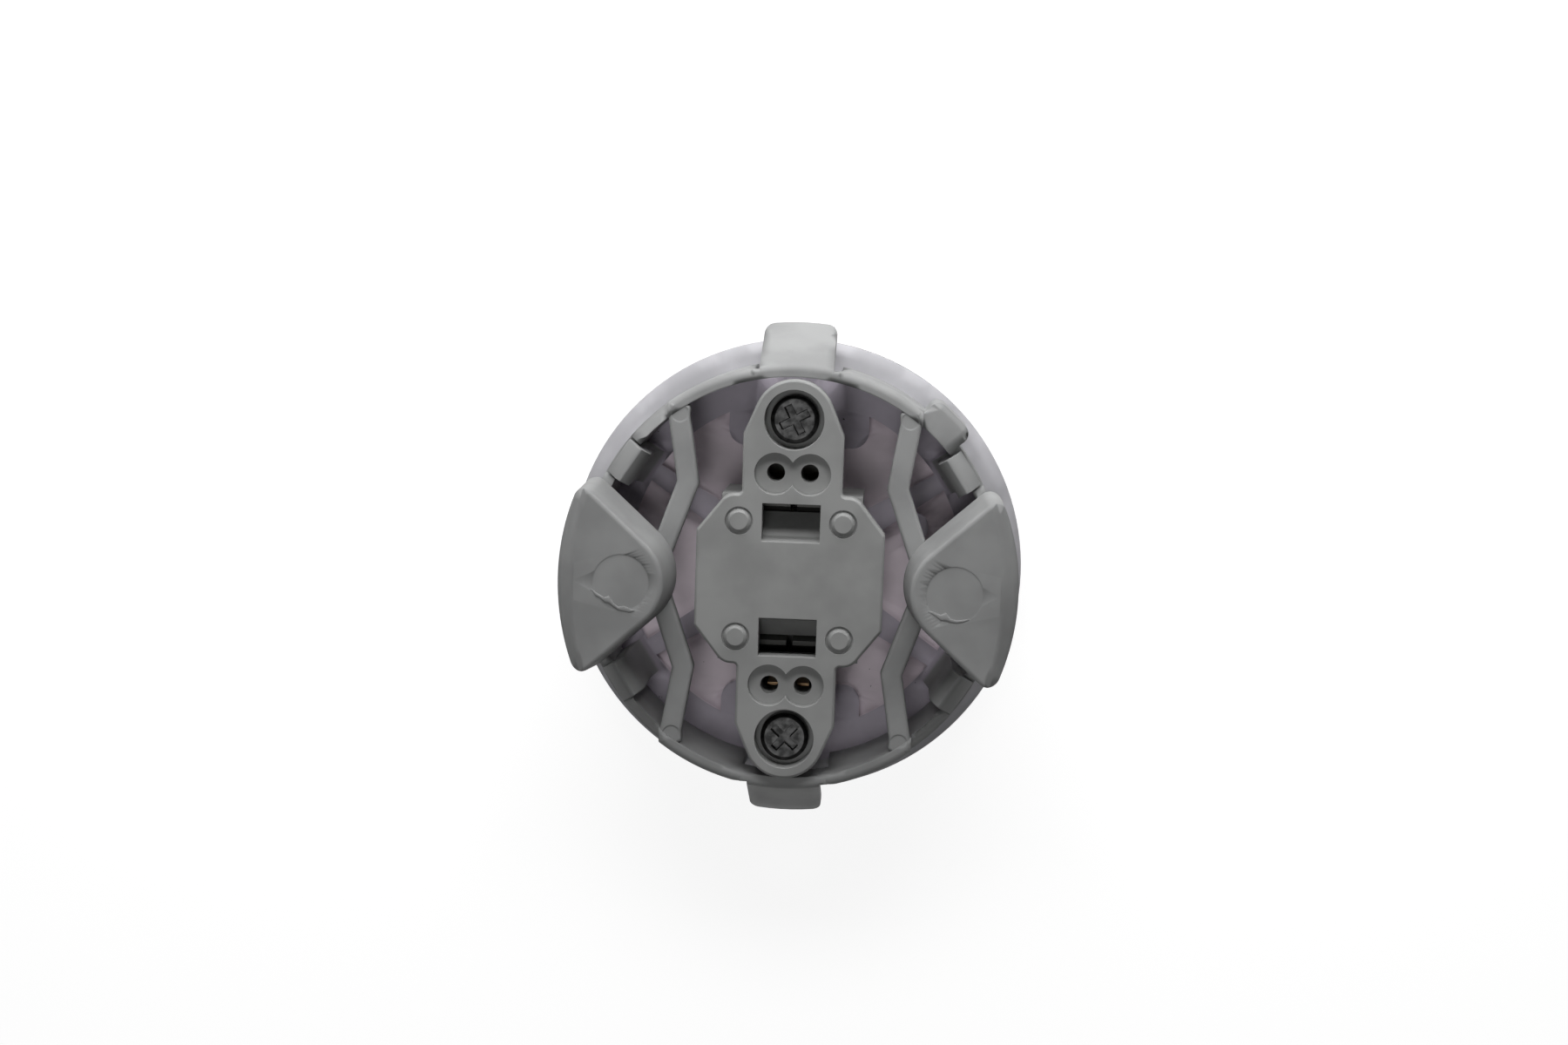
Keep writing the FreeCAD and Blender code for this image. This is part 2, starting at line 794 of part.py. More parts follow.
def build_arm(node, side, end):
    """Zigzag spring arm from the rim to the foot of a finger pad, for one quadrant."""
    piece = Piece(node)
    drawing = piece.draw("arm_outline", lift=rim_level)
    sketch = drawing.sketch
    bend_x = size.arm_bend_x * side
    bend_y = size.arm_bend_y * end
    first_run = stretch(size.arm_bend_x, size.arm_bend_y, arm_end_x, arm_end_y, size.arm_overrun)
    last_run = stretch(
        size.arm_bend_x, size.arm_bend_y, size.wing_vertex_x + size.arm_joint_inset, size.arm_joint_y,
        size.arm_under_wing,
    )
    stations = [
        (first_run[0] * side, first_run[1] * end),
        (bend_x, bend_y),
        (last_run[0] * side, last_run[1] * end),
    ]
    spine = []
    for here, there in zip(stations, stations[1:]):
        start = FreeCAD.Vector(here[0].value, here[1].value, 0)
        stop = FreeCAD.Vector(there[0].value, there[1].value, 0)
        line = sketch.addGeometry(Part.LineSegment(start, stop))
        sketch.toggleConstruction(line)
        drawing.place(line, 1, here[0], here[1])
        spine.append(line)
    drawing.place(spine[1], 2, stations[2][0], stations[2][1])
    sketch.addConstraint(Sketcher.Constraint("Coincident", spine[0], 2, spine[1], 1))

    half = size.arm_width.value / 2
    points = [FreeCAD.Vector(x.value, y.value, 0) for x, y in stations]
    ways = [(points[1] - points[0]).normalize(), (points[2] - points[1]).normalize()]
    normals = [FreeCAD.Vector(-way.y, way.x, 0) for way in ways]
    mitre = (normals[0] + normals[1]) * (half / (1 + normals[0].dot(normals[1])))
    left = [points[0] + normals[0] * half, points[1] + mitre, points[2] + normals[1] * half]
    right = [points[0] - normals[0] * half, points[1] - mitre, points[2] - normals[1] * half]
    ring = left + right[::-1]
    edges = [
        sketch.addGeometry(Part.LineSegment(ring[index], ring[(index + 1) % len(ring)]))
        for index in range(len(ring))
    ]
    for index, edge in enumerate(edges):
        sketch.addConstraint(Sketcher.Constraint("Coincident", edges[index - 1], 2, edge, 1))
    for edge, run in ((edges[0], 0), (edges[1], 1), (edges[3], 1), (edges[4], 0)):
        sketch.addConstraint(Sketcher.Constraint("Parallel", edge, spine[run]))
    for edge, run, point in ((edges[5], 0, 1), (edges[2], 1, 2)):
        sketch.addConstraint(Sketcher.Constraint("Symmetric", edge, 1, edge, 2, spine[run], point))
        sketch.addConstraint(Sketcher.Constraint("Perpendicular", edge, spine[run]))
        drawing.hold("Distance", edge, value=size.arm_width)
    piece.pad("arm", drawing, size.arm_thickness, down=True)

    seat = piece.draw("ring_seat", lift=rim_level + MARGIN)
    seat.circle(ZERO, ZERO, ring_inner_radius)
    seat.circle(ZERO, ZERO, ring_inner_radius + size.arm_overrun * 2)
    piece.pocket("rim_end", seat, size.arm_thickness + MARGIN * 2)
    mark = piece.draw("end_mark_outline", lift=rim_level)
    mark.circle(arm_end_x * side, arm_end_y * end, size.arm_mark_radius)
    piece.pocket("end_mark", mark, size.arm_mark_depth)
    return piece


def stretch(from_x, from_y, to_x, to_y, extra):
    """Carry a line on past its end by about a length, along its steeper way."""
    run = Length(abs(to_y.value - from_y.value), f"abs({to_y.text} - {from_y.text})")
    share = extra / run + 1
    return from_x + (to_x - from_x) * share, from_y + (to_y - from_y) * share


def build_terminal_plate():
    """Rear cover of the terminals: wire entries, release windows and the two screw bosses."""
    piece = Piece("terminal_plate")
    shoulder = size.plate_half_height - size.plate_corner_y
    top_half = size.plate_half_width - size.plate_corner_x
    touch_x = size.nose_radius * size.nose_tangent_angle.cosine()
    touch_y = screw_y + size.nose_radius * size.nose_tangent_angle.sine()
    neck_end = screw_y - size.neck_taper
    quarter = [
        (size.plate_half_width, shoulder),
        (top_half, size.plate_half_height),
        (size.neck_half_width, size.plate_half_height),
        (size.neck_half_width, neck_end),
        (touch_x, touch_y),
    ]
    upper = [*quarter[:-1], (touch_x, touch_y, size.nose_radius)]
    upper += [(-x, y) for x, y in reversed(quarter)]
    lower = [(-x, -y) for x, y in quarter[:-1]] + [(-touch_x, -touch_y, size.nose_radius)]
    lower += [(x, -y) for x, y in reversed(quarter)]
    outline = piece.draw("plate_outline", lift=plate_top).loop(*upper, *lower)
    piece.pad("plate", outline, size.plate_thickness, down=True)

    inset = size.boss_inset
    bosses = piece.draw("boss_outline", lift=plate_under)
    for end in ENDS:
        sweep = end * (size.nose_radius - inset)
        boss = [
            (size.neck_half_width - inset, end * size.boss_start),
            (size.neck_half_width - inset, end * neck_end),
            (touch_x - inset, end * touch_y, sweep),
            (inset - touch_x, end * touch_y),
            (inset - size.neck_half_width, end * neck_end),
            (inset - size.neck_half_width, end * size.boss_start),
        ]
        bosses.loop(*boss)
    piece.pad("bosses", bosses, size.boss_drop, down=True)

    def corner(x, y):
        """Pick the upright edges at one kind of corner of the plate's outline."""
        return lambda edge: stands(edge) and near(abs(edge.BoundBox.XMin), x.value) and near(
            abs(edge.BoundBox.YMin), y.value
        )

    piece.fillet("side_rounds", size.plate_side_round, corner(size.plate_half_width, shoulder))
    piece.fillet("shoulder_rounds", size.plate_shoulder_round, corner(top_half, size.plate_half_height))
    piece.fillet("neck_rounds", size.plate_neck_round, corner(size.neck_half_width, size.plate_half_height))
    piece.chamfer("edge_bevels", size.plate_edge_bevel, lambda edge: lies_flat(edge, plate_top.value))

    recesses = piece.draw("screw_recess_outline", lift=plate_top)
    holes = piece.draw("screw_hole_outline", lift=recess_floor)
    for end in ENDS:
        recesses.circle(ZERO, end * screw_y, size.screw_recess_radius)
        holes.circle(ZERO, end * screw_y, screw_hole_radius)
    piece.pocket("screw_recesses", recesses, size.screw_recess_depth)
    piece.pocket("screw_holes", holes, recess_floor - boss_under + MARGIN)

    for side, name in ((1, "right"), (-1, "left")):
        cups = piece.draw(f"{name}_cup_outline", lift=plate_top)
        for end in ENDS:
            cups.circle(side * size.wire_recess_x, end * (size.wire_hole_y - size.stake_gap * 2),
                        size.wire_recess_radius)
        piece.pocket(f"{name}_cups", cups, size.wire_recess_depth)

    entries = piece.draw("wire_hole_outline", lift=plate_top)
    stakes = piece.draw("stake_hole_outline", lift=plate_top)
    heads = piece.draw("stake_recess_outline", lift=plate_top)
    for side, end in QUADRANTS:
        entries.circle(side * size.wire_hole_x, end * size.wire_hole_y, size.wire_hole_radius)
        stakes.circle(side * size.stake_x, end * size.stake_y, size.stake_radius + size.stake_gap)
        heads.circle(side * size.stake_x, end * size.stake_y, size.stake_recess_radius)
    piece.pocket("wire_holes", entries, plate_top - boss_under + MARGIN)
    piece.pocket("stake_holes", stakes, size.plate_thickness + MARGIN)
    piece.pocket("stake_recesses", heads, size.stake_recess_depth)

    windows = piece.draw("window_section", "YZ_Plane")
    for end in ENDS:
        windows.loop(
            (end * size.window_start, plate_top),
            (end * (size.window_start + size.window_slope), plate_under),
            (end * size.window_end, plate_under),
            (end * size.window_end, plate_top),
        )
    piece.pocket("windows", windows, size.window_width, midplane=True)
    return piece


def build_contact_block():
    """Insulating block that carries the metalwork, with the nose that enters the lamp's end."""
    piece = Piece("contact_block")
    block_end = screw_y - size.post_radius - size.block_post_gap
    core = piece.draw("core_outline", lift=flange_level)
    core.rectangle(
        -size.block_half_width, -size.block_half_height, size.block_half_width, size.block_half_height
    )
    piece.pad("core", core, plate_under - flange_level)
    ends = piece.draw("end_outline", lift=flange_level)
    ends.rectangle(-size.block_end_half_width, -block_end, size.block_end_half_width, block_end)
    piece.pad("ends", ends, block_end_top - flange_level)

    nose = piece.draw("nose_outline", lift=flange_level)
    obround(nose, size.nose_length / 2, size.nose_width / 2)
    piece.pad("nose", nose, flange_level - size.nose_tip_height, down=True)
    piece.chamfer(
        "nose_bevel", size.nose_tip_bevel, lambda edge: lies_flat(edge, size.nose_tip_height.value)
    )

    spaces = piece.draw("wire_space_section", "YZ_Plane")
    slots = piece.draw("contact_slot_section", "YZ_Plane")
    gap = size.contact_gap
    flank = size.nose_width / 2 - gap
    deep = flank - size.contact_thickness - gap
    wall_side = pocket_end - size.contact_thickness - gap * 2
    for end in ENDS:
        spaces.loop(
            (end * size.pocket_start, plate_under + MARGIN),
            (end * size.pocket_start, plate_under),
            (end * ramp_foot, plate_under - size.ramp_depth),
            (end * ramp_foot, pocket_floor_level),
            (end * pocket_end, pocket_floor_level),
            (end * pocket_end, pocket_roof_level),
            (end * size.pocket_shaft_end, pocket_roof_level),
            (end * size.pocket_shaft_end, plate_under + MARGIN),
        )
        slots.loop(
            (end * deep, size.contact_tip_height - gap),
            (end * (flank + MARGIN), size.contact_tip_height - gap),
            (end * (flank + MARGIN), flange_level - gap),
            (end * pocket_end, flange_level - gap),
            (end * pocket_end, pocket_floor_level + MARGIN),
            (end * wall_side, pocket_floor_level + MARGIN),
            (end * wall_side, flange_level + size.contact_thickness + gap * 2),
            (end * deep, flange_level + size.contact_thickness + gap * 2),
        )
    piece.pocket("wire_spaces", spaces, size.pocket_half_width * 2, midplane=True)
    piece.pocket("contact_slots", slots, size.contact_width + gap * 2, midplane=True)

    tunnels = piece.draw("tunnel_outline", lift=block_end_top)
    posts = piece.draw("stake_outline", lift=plate_under)
    heads = piece.draw("stake_head_outline", lift=plate_top - size.stake_recess_depth)
    for side, end in QUADRANTS:
        tunnels.circle(side * size.wire_hole_x, end * size.wire_hole_y, size.tunnel_radius)
        posts.circle(side * size.stake_x, end * size.stake_y, size.stake_radius)
        heads.circle(side * size.stake_x, end * size.stake_y, size.stake_head_radius)
    piece.pocket("tunnels", tunnels, size.pocket_roof + MARGIN)
    piece.pad("stakes", posts, size.plate_thickness - size.stake_recess_depth)
    piece.pad("stake_heads", heads, size.stake_head_height)
    dome = plate_top - size.stake_recess_depth + size.stake_head_height
    piece.chamfer("stake_domes", size.stake_head_bevel, lambda edge: lies_flat(edge, dome.value))
    return piece


def build_lamp_contact(node, end):
    """Bronze strip from a flank of the nose, under the block and up beside the wires."""
    piece = Piece(node)
    gap = size.contact_gap
    thick = size.contact_thickness
    flank = size.nose_width / 2 - gap
    low = flange_level + gap
    wall = pocket_end - gap
    top = pocket_roof_level - size.contact_top_gap
    bow = size.contact_bow
    strip = piece.draw("strip_section", "YZ_Plane").loop(
        (end * flank, size.contact_tip_height),
        (end * (flank + bow), size.contact_bow_low),
        (end * flank, size.contact_bow_high),
        (end * flank, low),
        (end * wall, low),
        (end * wall, top),
        (end * (wall - thick), top),
        (end * (wall - thick), low + thick),
        (end * (flank - thick), low + thick),
        (end * (flank - thick), size.contact_bow_high),
        (end * (flank + bow - thick), size.contact_bow_low),
        (end * (flank - thick), size.contact_tip_height),
    )
    piece.pad("strip", strip, size.contact_width, midplane=True)
    return piece


def build_grip_spring(node, side, end):
    """Folded leaf that lets a wire in and bites when it is pulled back."""
    piece = Piece(node)
    thick = size.grip_thickness
    seat = ramp_foot + size.grip_seat_gap
    foot = pocket_floor_level + size.grip_seat_gap
    crown = plate_under - size.grip_top_gap
    bend = size.grip_bend
    tip_y = size.wire_hole_y - size.grip_wire_gap
    tip = crown - size.grip_drop
    leaf = piece.draw("leaf_section", "YZ_Plane").loop(
        (end * seat, foot),
        (end * (seat + thick), foot),
        (end * (seat + thick), crown - bend),
        (end * (seat + bend), crown - thick),
        (end * (seat + bend * 2), crown - thick),
        (end * (tip_y - thick), tip - thick),
        (end * tip_y, tip),
        (end * (seat + bend * 2), crown),
        (end * (seat + bend), crown),
        (end * seat, crown - bend),
    )
    piece.pad("leaf", leaf, size.grip_width, midplane=True)
    shift = side * size.wire_hole_x
    piece.body.Placement = FreeCAD.Placement(FreeCAD.Vector(shift.value, 0, 0), FreeCAD.Rotation())
    piece.body.setExpression("Placement.Base.x", shift.text)
    return piece


def build_screw(node, end, cross_turn):
    """Cross-recess screw that clamps the terminal plate to a post of the front body."""
    piece = Piece(node)
    head = size.screw_head_radius
    crown = recess_floor + size.screw_head_height
    point = recess_floor - size.screw_length
    section = piece.draw("screw_section", "XZ_Plane").loop(
        (ZERO, point),
        (size.screw_radius / 2, point),
        (size.screw_radius, point + size.screw_tip),
        (size.screw_radius, recess_floor),
        (head, recess_floor),
        (head, crown - size.screw_head_bevel),
        (head - size.screw_head_bevel, crown),
        (ZERO, crown),
    )
    piece.turned("Revolution", "blank", section)
    half_length = size.screw_cross_length / 2
    half_width = size.screw_cross_width / 2
    for name, across, along in (("first", half_length, half_width), ("second", half_width, half_length)):
        slot = piece.draw(f"{name}_slot_outline", lift=crown, turn=cross_turn)
        slot.rectangle(-across, -along, across, along)
        piece.pocket(f"{name}_slot", slot, size.screw_cross_depth)
    shift = end * screw_y
    piece.body.Placement = FreeCAD.Placement(FreeCAD.Vector(0, shift.value, 0), FreeCAD.Rotation())
    piece.body.setExpression("Placement.Base.y", shift.text)
    return piece


def check_and_write():
    """Stop at any failed object or bad solid, then write each piece to its own file."""
    document.recompute()
    for thing in document.Objects:
        if "Invalid" in thing.State or "Error" in thing.State:
            raise RuntimeError(f"{thing.Label} failed: {thing.State}")
    os.makedirs("parts", exist_ok=True)
    for piece in pieces:
        shape = piece.body.Shape
        if shape.isNull() or not shape.isValid():
            raise RuntimeError(f"{piece.body.Label} has no valid solid")
        shape.exportStep(f"parts/{piece.body.Label}.step")
        print(piece.body.Label, "solids", len(shape.Solids), "volume", round(shape.Volume, 1))


END_NAMES = {1: "upper", -1: "lower"}
SIDE_NAMES = {1: "right", -1: "left"}

pieces = [
    build_front_body(),
    build_latch_ring(),
    build_wing("right_wing", 0),
    build_wing("left_wing", 180),
    build_terminal_plate(),
    build_contact_block(),
]
for side, end in QUADRANTS:
    place = f"{END_NAMES[end]}_{SIDE_NAMES[side]}"
    pieces.append(build_arm(f"{place}_arm", side, end))
    pieces.append(build_grip_spring(f"{place}_grip_spring", side, end))
for end in ENDS:
    pieces.append(build_lamp_contact(f"{END_NAMES[end]}_contact", end))
pieces.append(build_screw("upper_screw", 1, size.upper_cross_angle))
pieces.append(build_screw("lower_screw", -1, size.lower_cross_angle))
check_and_write()
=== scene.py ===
import logging
import math
from collections.abc import Callable
from dataclasses import dataclass, field
from enum import Enum

import bmesh
import bpy
from mathutils import Matrix, Vector

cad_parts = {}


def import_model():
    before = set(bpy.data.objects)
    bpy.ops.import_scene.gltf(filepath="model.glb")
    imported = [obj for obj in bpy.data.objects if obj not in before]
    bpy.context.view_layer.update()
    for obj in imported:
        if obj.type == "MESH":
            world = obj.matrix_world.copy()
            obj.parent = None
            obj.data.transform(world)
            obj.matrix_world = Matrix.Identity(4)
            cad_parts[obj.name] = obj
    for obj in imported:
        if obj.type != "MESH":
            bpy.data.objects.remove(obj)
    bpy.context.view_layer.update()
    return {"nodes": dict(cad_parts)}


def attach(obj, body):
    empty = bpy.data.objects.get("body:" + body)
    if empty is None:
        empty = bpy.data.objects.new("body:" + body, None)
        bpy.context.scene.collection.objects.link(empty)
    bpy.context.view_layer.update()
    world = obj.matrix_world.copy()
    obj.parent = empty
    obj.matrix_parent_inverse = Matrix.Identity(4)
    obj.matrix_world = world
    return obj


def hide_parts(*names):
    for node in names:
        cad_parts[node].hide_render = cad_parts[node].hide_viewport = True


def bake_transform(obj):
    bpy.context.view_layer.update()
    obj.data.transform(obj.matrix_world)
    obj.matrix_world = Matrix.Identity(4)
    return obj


# A rear-wired lamp holder, seen from its wired side. Metres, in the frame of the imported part:
# +Z is the way the wires come in, +Y is up in the picture, and X runs from finger pad to finger pad.

log = logging.getLogger("lamp_holder")

MM = 0.001
MERGE_DISTANCE = 0.002 * MM

Colour = tuple[float, float, float]


def grey(level: float, tint: Colour = (1.0, 1.0, 1.0)) -> Colour:
    """Turn a display grey into a linear colour.

    Args:
        level: The grey as it shows on a display, from 0 to 255.
        tint: Factors on red, green and blue.

    Returns:
        The linear colour.
    """
    share = level / 255
    linear = share / 12.92 if share <= 0.04045 else ((share + 0.055) / 1.055) ** 2.4
    return (linear * tint[0], linear * tint[1], linear * tint[2])


class Value:
    """A shader socket that can be written in sums, so that shader maths reads as an expression."""

    def __init__(self, shader: "Shader", socket: bpy.types.NodeSocket) -> None:
        """Keep the socket and the material that it belongs to."""
        self.shader = shader
        self.socket = socket

    def _maths(self, operation: str, first: "Value | float", second: "Value | float") -> "Value":
        """Add a Math node for one operation on two values."""
        return self.shader.node("ShaderNodeMath", {"operation": operation}, {0: first, 1: second})

    def __add__(self, other: "Value | float") -> "Value":
        """Add."""
        return self._maths("ADD", self, other)

    def __radd__(self, other: float) -> "Value":
        """Add to a number."""
        return self._maths("ADD", other, self)

    def __sub__(self, other: "Value | float") -> "Value":
        """Subtract."""
        return self._maths("SUBTRACT", self, other)

    def __rsub__(self, other: float) -> "Value":
        """Subtract from a number."""
        return self._maths("SUBTRACT", other, self)

    def __mul__(self, other: "Value | float") -> "Value":
        """Multiply."""
        return self._maths("MULTIPLY", self, other)

    def __rmul__(self, other: float) -> "Value":
        """Multiply a number."""
        return self._maths("MULTIPLY", other, self)

    def __pow__(self, other: float) -> "Value":
        """Raise to a power."""
        return self._maths("POWER", self, other)

    def ramp(self, low: float, high: float) -> "Value":
        """Rise smoothly from 0 where the value is low to 1 where it is high.

        Args:
            low: The value that gives 0.
            high: The value that gives 1. It may be less than low.

        Returns:
            The smooth step.
        """
        edges = {"Value": self, "From Min": low, "From Max": high}
        return self.shader.node("ShaderNodeMapRange", {"interpolation_type": "SMOOTHSTEP"}, edges)


class Shader:
    """A material while its nodes are being written."""

    def __init__(self, name: str) -> None:
        """Start a material with no nodes."""
        self.material = bpy.data.materials.new(name)
        self.material.use_nodes = True
        self.tree = self.material.node_tree
        self.tree.nodes.clear()

    def node(
        self, kind: str, settings: dict[str, object], inputs: dict[str | int, object], output: str | int = 0
    ) -> Value:
        """Add a node.

        Args:
            kind: The node's type.
            settings: The node's own settings, which are set first.
            inputs: Sockets by name or number, each with a value or a link.
            output: The socket to give back.

        Returns:
            The wanted output.
        """
        made = self.tree.nodes.new(kind)
        for name, value in settings.items():
            setattr(made, name, value)
        for name, value in inputs.items():
            if isinstance(value, Value):
                self.tree.links.new(value.socket, made.inputs[name])
            else:
                made.inputs[name].default_value = value
        return Value(self, made.outputs[output])

    def place(self) -> Value:
        """Give the place on the object, in metres."""
        return self.node("ShaderNodeTexCoord", {}, {}, "Object")

    def axes(self) -> tuple[Value, Value, Value]:
        """Give the place on the object as its three numbers."""
        split = self.node("ShaderNodeSeparateXYZ", {}, {"Vector": self.place()}).socket.node
        return tuple(Value(self, output) for output in split.outputs)

    def stretched(self, scale: tuple[float, float, float]) -> Value:
        """Give the place with its axes scaled, so that a pattern is drawn out along one of them."""
        return self.node("ShaderNodeVectorMath", {"operation": "MULTIPLY"}, {0: self.place(), 1: scale})

    def noise(self, size: float, detail: float = 2.0, place: Value | None = None) -> Value:
        """Give cloudy noise.

        Args:
            size: The width of a cloud, in metres.
            detail: How many finer layers are added.
            place: Where to read it, if not at the plain place on the object.

        Returns:
            The noise, from 0 to 1.
        """
        inputs = {"Vector": place or self.place(), "Scale": 1 / size, "Detail": detail}
        return self.node("ShaderNodeTexNoise", {}, inputs, "Fac")

    def mix(self, share: "Value | float", first: "Value | Colour", second: "Value | Colour") -> Value:
        """Mix two colours.

        Args:
            share: How much of the second, from 0 to 1.
            first: The colour at 0.
            second: The colour at 1.

        Returns:
            The mixed colour.
        """
        colours = [item if isinstance(item, Value) else (*item, 1.0) for item in (first, second)]
        inputs = {0: share, 6: colours[0], 7: colours[1]}
        return self.node("ShaderNodeMix", {"data_type": "RGBA", "clamp_factor": True}, inputs, 2)

    def bump(self, height: Value, depth: float, under: Value | None = None) -> Value:
        """Turn a height into a normal.

        Args:
            height: The height, from 0 to 1.
            depth: What a height of 1 stands for, in metres.
            under: A normal that this one adds to.

        Returns:
            The normal.
        """
        inputs = {"Height": height, "Distance": depth, "Strength": 1.0}
        if under is not None:
            inputs["Normal"] = under
        return self.node("ShaderNodeBump", {}, inputs)

    def surface(self, inputs: dict[str, object]) -> bpy.types.Material:
        """Finish the material with a Principled surface.

        Args:
            inputs: The surface's sockets by name, each with a value or a link.

        Returns:
            The material.
        """
        lit = self.node("ShaderNodeBsdfPrincipled", {}, inputs)
        self.node_output(lit)
        return self.material

    def node_output(self, shader: Value) -> None:
        """Send a shader to the material's output."""
        output = self.tree.nodes.new("ShaderNodeOutputMaterial")
        self.tree.links.new(shader.socket, output.inputs["Surface"])


@dataclass(frozen=True)
class MouldedPlastic:
    """Grey engineering plastic, as it comes out of the mould."""

    name: str = "plastic"
    colour: Colour = grey(150)
    clouding: float = 0.10
    cloud_size: float = 7.0 * MM
    cloud_edges: tuple[float, float] = (0.3, 0.7)
    roughness: float = 0.5
    roughness_spread: float = 0.12
    sheen: float = 0.25
    grain_size: float = 0.22 * MM
    grain_depth: float = 0.006 * MM
    edge_round: float = 0.28 * MM
    edge_samples: int = 6

    def clouded(self, shader: Shader, colour: Colour) -> Value:
        """Cloud a colour a little, as where the melt met.

        Args:
            shader: The material that is being written.
            colour: The plain colour.

        Returns:
            The clouded colour.
        """
        clouds = shader.noise(self.cloud_size, 3.0)
        darker = tuple(part * (1 - self.clouding) for part in colour)
        lighter = tuple(part * (1 + self.clouding) for part in colour)
        return shader.mix(clouds.ramp(*self.cloud_edges), darker, lighter)

    def tone(self, shader: Shader) -> Value:
        """Give the plastic's colour."""
        return self.clouded(shader, self.colour)

    def build(self) -> bpy.types.Material:
        """Write the material."""
        shader = Shader(self.name)
        grain = shader.noise(self.grain_size, 2.0)
        edges = shader.node("ShaderNodeBevel", {"samples": self.edge_samples}, {"Radius": self.edge_round})
        return shader.surface({
            "Base Color": self.tone(shader),
            "Roughness": self.roughness + self.roughness_spread * shader.noise(self.cloud_size / 3),
            "Specular IOR Level": self.sheen,
            "Normal": shader.bump(grain, self.grain_depth, edges),
        })


@dataclass(frozen=True)
class FrontPlastic(MouldedPlastic):
    """The front body's plastic: pale on the flange, violet on its ribs, and pale pink on the thin floor,
    where the pale pink is painted light: the glow of light shining through the thin plastic.
    """

    name: str = "front_plastic"
    # Painted light: the thin floor's pale pink stands for light shining through the thin plastic, not for its
    # own colour.
    thin_floor_painted_glow: Colour = grey(222, (1.05, 0.93, 1.01))
    ribs: Colour = grey(190, (1.01, 0.93, 1.07))
    hooks: Colour = grey(150, (0.99, 1.0, 1.0))
    floor_height: float = 10.7 * MM
    floor_fade: float = 0.2 * MM
    rib_height: float = 12.0 * MM
    rib_fade: float = 1.5 * MM
    inner_reach: float = 26.0 * MM
    inner_fade: float = 0.6 * MM
    speck_size: float = 1.1 * MM
    speck_edges: tuple[float, float] = (0.735, 0.76)
    speck_colour: Colour = grey(30)

    def tone(self, shader: Shader) -> Value:
        """Mix the colours by height and by distance from the axis."""
        x, y, z = shader.axes()
        reach = (x * x + y * y) ** 0.5
        # Below the floor height the colour is the painted glow of light shining through the thin floor.
        inside = shader.mix(
            z.ramp(self.floor_height - self.floor_fade, self.floor_height + self.floor_fade),
            self.clouded(shader, self.thin_floor_painted_glow), self.clouded(shader, self.ribs),
        )
        specks = shader.noise(self.speck_size, 4.0).ramp(*self.speck_edges)
        inside = shader.mix(specks, inside, self.speck_colour)
        outside = self.clouded(shader, self.colour)
        low = shader.mix(reach.ramp(self.inner_reach, self.inner_reach + self.inner_fade), inside, outside)
        return shader.mix(z.ramp(self.rib_height, self.rib_height + self.rib_fade), low, self.hooks)


@dataclass(frozen=True)
class LatchPlastic(MouldedPlastic):
    """The latch moulding's plastic, with the small burn on the end of its lug."""

    burn_place: tuple[float, float, float] = (22.2 * MM, 18.9 * MM, 23.7 * MM)
    burn_size: float = 0.75 * MM
    burn_heart: float = 0.7
    burn_height_share: float = 0.5
    burn_raggedness: float = 0.5 * MM
    burn_colour: Colour = (0.004, 0.004, 0.004)

    def tone(self, shader: Shader) -> Value:
        """Add the burn to the plain plastic."""
        x, y, z = shader.axes()
        burn_x, burn_y, burn_z = self.burn_place
        height = (z - burn_z) * self.burn_height_share
        away = ((x - burn_x) ** 2 + (y - burn_y) ** 2 + height ** 2) ** 0.5
        ragged = away + (shader.noise(self.burn_raggedness) - 0.5) * self.burn_raggedness
        burn = ragged.ramp(self.burn_size, self.burn_size * self.burn_heart)
        return shader.mix(burn, self.clouded(shader, self.colour), self.burn_colour)


@dataclass(frozen=True)
class ScrewSteel:
    """Dark zinc-plated steel of the two screws."""

    name: str = "screw_steel"
    colour: Colour = grey(80)
    patch_colour: Colour = grey(52)
    patch_size: float = 0.9 * MM
    patch_edges: tuple[float, float] = (0.35, 0.7)
    roughness: float = 0.34
    roughness_spread: float = 0.2
    grain_size: float = 0.12 * MM
    grain_depth: float = 0.004 * MM

    def build(self) -> bpy.types.Material:
        """Write the material."""
        shader = Shader(self.name)
        patches = shader.noise(self.patch_size, 3.0)
        return shader.surface({
            "Base Color": shader.mix(patches.ramp(*self.patch_edges), self.colour, self.patch_colour),
            "Metallic": 1.0,
            "Roughness": self.roughness + self.roughness_spread * patches,
            "Normal": shader.bump(shader.noise(self.grain_size), self.grain_depth),
        })


@dataclass(frozen=True)
class StripMetal:
    """Plain rolled strip of the contacts and the grip springs."""

    name: str
    colour: Colour
    roughness: float = 0.3
    roughness_spread: float = 0.15
    streak_size: float = 0.5 * MM
    streak_squeeze: float = 8.0
    streak_tone: float = 0.8

    def build(self) -> bpy.types.Material:
        """Write the material."""
        shader = Shader(self.name)
        squeeze = (1.0, self.streak_squeeze, self.streak_squeeze)
        rolled = shader.noise(self.streak_size, 2.0, shader.stretched(squeeze))
        darker = tuple(part * self.streak_tone for part in self.colour)
        return shader.surface({
            "Base Color": shader.mix(rolled, self.colour, darker),
            "Metallic": 1.0,
            "Roughness": self.roughness + self.roughness_spread * rolled,
        })


class Slot(Enum):
    """The record's material slots."""

    FRONT = "body_plastic"
    RING = "ring_plastic"
    PLATE = "plate_plastic"
    BRONZE = "contact_bronze"
    SPRING = "spring_steel"
    SCREW = "screw_steel"


